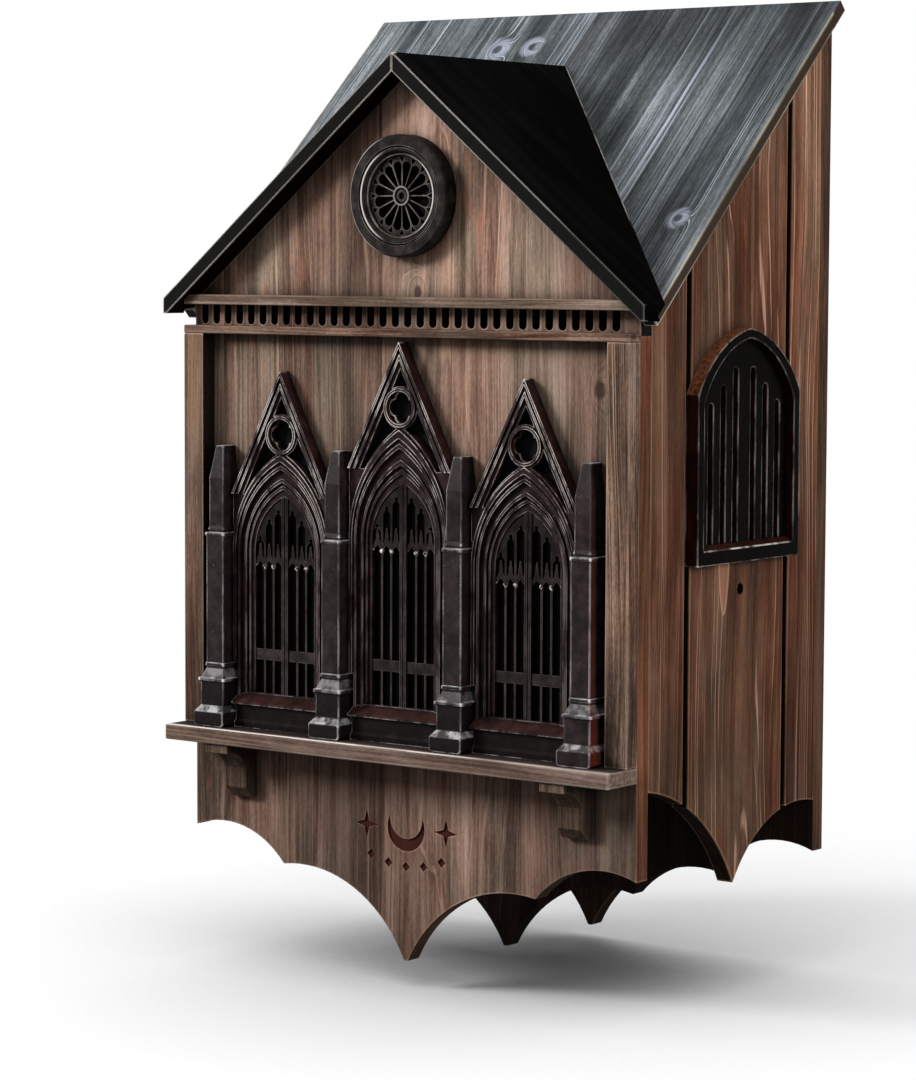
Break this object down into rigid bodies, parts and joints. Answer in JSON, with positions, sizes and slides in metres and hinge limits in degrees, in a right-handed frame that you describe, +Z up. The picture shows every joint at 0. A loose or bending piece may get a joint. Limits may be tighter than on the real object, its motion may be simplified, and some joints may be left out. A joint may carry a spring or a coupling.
{
  "type": "bat box",
  "caption": "Wall-hung wooden bat box with a gabled front, cast gothic window trims, steep lean-to roof and scalloped open bottom.",
  "frame": {"origin": "midway between the two hanger holes, in the plane of the wall", "axes": "+Z up, +Y into the wall, +X to the right seen from the front"},
  "size_m": [0.323, 0.2116, 0.5276],
  "materials": {
    "stained_wood": "stained grey-brown, matt, dry grain",
    "roof_wood": "blackened, matt, grain showing",
    "cast_resin": "cast resin, black with dry-brushed edges",
    "grille_resin": "cast resin, black",
    "louvre_resin": "cast resin, gloss black with worn red-brown edges",
    "steel": "dulled zinc"
  },
  "bodies": {
    "root": {"front_board": "stained_wood", "back_board": "stained_wood", "middle_partition": "stained_wood", "front_baffle": "stained_wood", "rear_baffle": "stained_wood", "right_side_front_board": "stained_wood", "right_side_middle_board": "stained_wood", "right_side_rear_board": "stained_wood", "left_side_front_board": "stained_wood", "left_side_middle_board": "stained_wood", "left_side_rear_board": "stained_wood", "upper_rail": "stained_wood", "lower_rail": "stained_wood", "left_batten": "stained_wood", "right_batten": "stained_wood", "shelf": "stained_wood", "left_bracket": "stained_wood", "right_bracket": "stained_wood", "main_roof_left": "roof_wood", "main_roof_right": "roof_wood", "gable_roof_left": "roof_wood", "gable_roof_right": "roof_wood", "rose_window": "cast_resin", "pilaster_far_left": "cast_resin", "pilaster_left": "cast_resin", "pilaster_right": "cast_resin", "pilaster_far_right": "cast_resin", "left_lancet_frame": "cast_resin", "centre_lancet_frame": "cast_resin", "right_lancet_frame": "cast_resin", "left_lancet_grille": "grille_resin", "centre_lancet_grille": "grille_resin", "right_lancet_grille": "grille_resin", "left_louvre": "louvre_resin", "right_louvre": "louvre_resin", "left_hanger": "steel", "right_hanger": "steel", "hanger_screws": "steel", "side_screws": "steel"}
  },
  "joints": []
}
